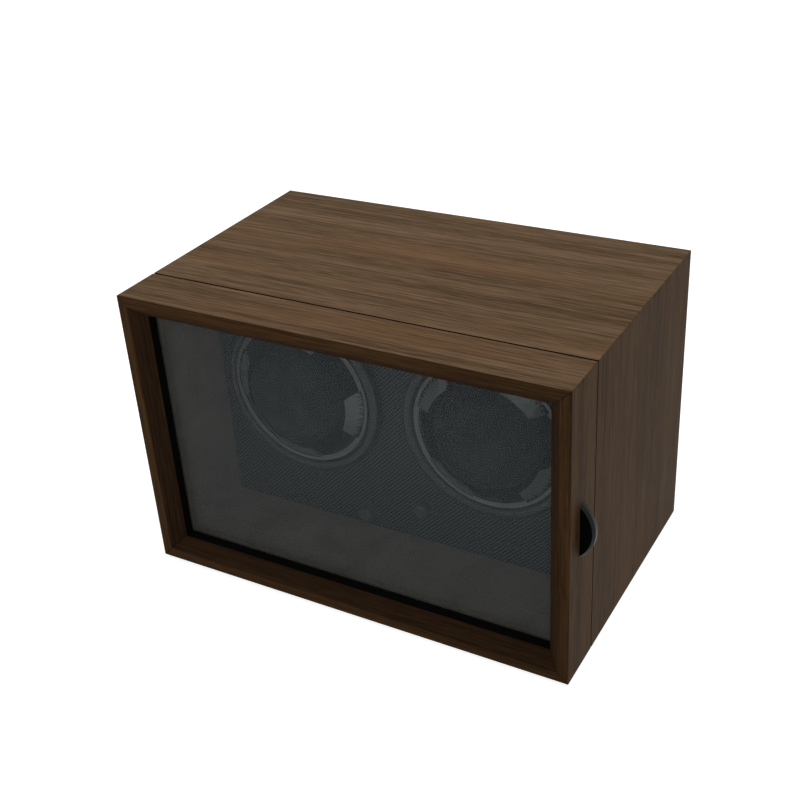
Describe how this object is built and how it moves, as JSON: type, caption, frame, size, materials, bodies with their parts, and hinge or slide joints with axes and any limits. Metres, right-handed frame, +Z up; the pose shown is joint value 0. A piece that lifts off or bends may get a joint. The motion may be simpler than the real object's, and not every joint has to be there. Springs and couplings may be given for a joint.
{
  "type": "watch winder box",
  "caption": "Wooden watch winder box with a glazed front door, round rotors behind a dark baffle, soft watch pillows, push buttons and a belt drive.",
  "frame": {"origin": "middle of the box's plan on the surface that it stands on, in the plane of the felt's underside", "axes": "+X to the viewer's right, -Y out of the glazed front, +Z up"},
  "size_m": [0.2514, 0.1585, 0.16],
  "materials": {
    "walnut": "satin dark walnut veneer film with straight grain",
    "back_board": "dark stained board",
    "raw_board": "unfinished fibreboard",
    "lining_cloth": "short-pile grey lining",
    "base_cloth": "black felt",
    "baffle_film": "black woven-look film under a clear coat",
    "bezel_black": "moulded black, semi gloss",
    "rotor_black": "moulded black, matt",
    "clear_plastic": "clear polished acrylic",
    "pillow_cover": "black soft leatherette",
    "window": "clear sheet glass",
    "surround_black": "matt black",
    "pull_black": "black lacquered metal",
    "bright_steel": "bright steel",
    "motor_steel": "zinc plated can",
    "hinge_brass": "brass",
    "belt_rubber": "black rubber",
    "circuit_green": "green solder mask"
  },
  "bodies": {
    "case": {"case_top": "walnut", "case_bottom": "walnut", "case_left": "walnut", "case_right": "walnut", "back_panel": "back_board", "back_screws": "bright_steel", "base_felt": "base_cloth", "lining_floor": "lining_cloth", "lining_ceiling": "lining_cloth", "side_linings": "lining_cloth", "baffle_panel": "baffle_film", "left_bezel": "bezel_black", "right_bezel": "bezel_black", "corner_cleats": "raw_board", "drive_plate_screws": "bright_steel", "motor_screws": "bright_steel", "drive_plate": "raw_board", "rotor_bushes": "hinge_brass", "left_motor": "motor_steel", "left_belt": "belt_rubber", "right_motor": "motor_steel", "right_belt": "belt_rubber", "button_switches": "rotor_black", "board_posts": "rotor_black", "control_board": "circuit_green", "dc_jack": "rotor_black", "wiring": "belt_rubber", "dc_jack_nut": "bright_steel", "rear_bumpers": "belt_rubber", "case_magnets": "bright_steel", "case_hinge_leaves": "hinge_brass", "hinge_pins": "bright_steel", "case_hinge_screws": "bright_steel"},
    "door": {"door_top_rail": "walnut", "door_bottom_rail": "walnut", "door_left_stile": "walnut", "door_right_stile": "walnut", "glass_surround": "surround_black", "window_glass": "window", "glass_retainer": "lining_cloth", "door_pull": "pull_black", "door_magnets": "bright_steel", "door_hinge_leaves": "hinge_brass", "door_hinge_screws": "bright_steel"},
    "left_rotor": {"left_rotor_cup": "rotor_black", "left_clip_ring": "clear_plastic", "left_rotor_shaft": "bright_steel", "left_rotor_pulley": "rotor_black"},
    "left_pillow": {"left_watch_pillow": "pillow_cover"},
    "left_drive": {"left_motor_shaft": "bright_steel", "left_drive_pulley": "rotor_black"},
    "left_push_button": {"left_button": "bezel_black"},
    "right_rotor": {"right_rotor_cup": "rotor_black", "right_clip_ring": "clear_plastic", "right_rotor_shaft": "bright_steel", "right_rotor_pulley": "rotor_black"},
    "right_pillow": {"right_watch_pillow": "pillow_cover"},
    "right_drive": {"right_motor_shaft": "bright_steel", "right_drive_pulley": "rotor_black"},
    "right_push_button": {"right_button": "bezel_black"}
  },
  "joints": [
    {"name": "door_hinge", "type": "hinge", "parent": "case", "child": "door", "pos_m": [-0.1224, -0.0486, 0.08075], "axis": [0, 0, -1], "range_deg": [0, 170]},
    {"name": "left_rotor_spin", "type": "hinge", "parent": "case", "child": "left_rotor", "pos_m": [-0.0545, 0, 0.0918], "axis": [0, -1, 0], "continuous": true},
    {"name": "left_drive_spin", "type": "hinge", "parent": "case", "child": "left_drive", "pos_m": [-0.014, 0, 0.132], "axis": [0, -1, 0], "continuous": true},
    {"name": "left_pillow_slide", "type": "slide", "parent": "left_rotor", "child": "left_pillow", "axis": [0, -1, 0], "range_m": [0, 0.024]},
    {"name": "left_button_press", "type": "slide", "parent": "case", "child": "left_push_button", "axis": [0, 1, 0], "range_m": [0, 0.0012], "stiffness_N_per_m": 900},
    {"name": "right_rotor_spin", "type": "hinge", "parent": "case", "child": "right_rotor", "pos_m": [0.0545, 0, 0.0918], "axis": [0, -1, 0], "continuous": true},
    {"name": "right_drive_spin", "type": "hinge", "parent": "case", "child": "right_drive", "pos_m": [0.014, 0, 0.132], "axis": [0, -1, 0], "continuous": true},
    {"name": "right_pillow_slide", "type": "slide", "parent": "right_rotor", "child": "right_pillow", "axis": [0, -1, 0], "range_m": [0, 0.024]},
    {"name": "right_button_press", "type": "slide", "parent": "case", "child": "right_push_button", "axis": [0, 1, 0], "range_m": [0, 0.0012], "stiffness_N_per_m": 900}
  ],
  "couplings": [
    {"joint": "left_drive_spin", "follows": "left_rotor_spin", "ratio": 2.8966},
    {"joint": "right_drive_spin", "follows": "right_rotor_spin", "ratio": 2.8966}
  ]
}
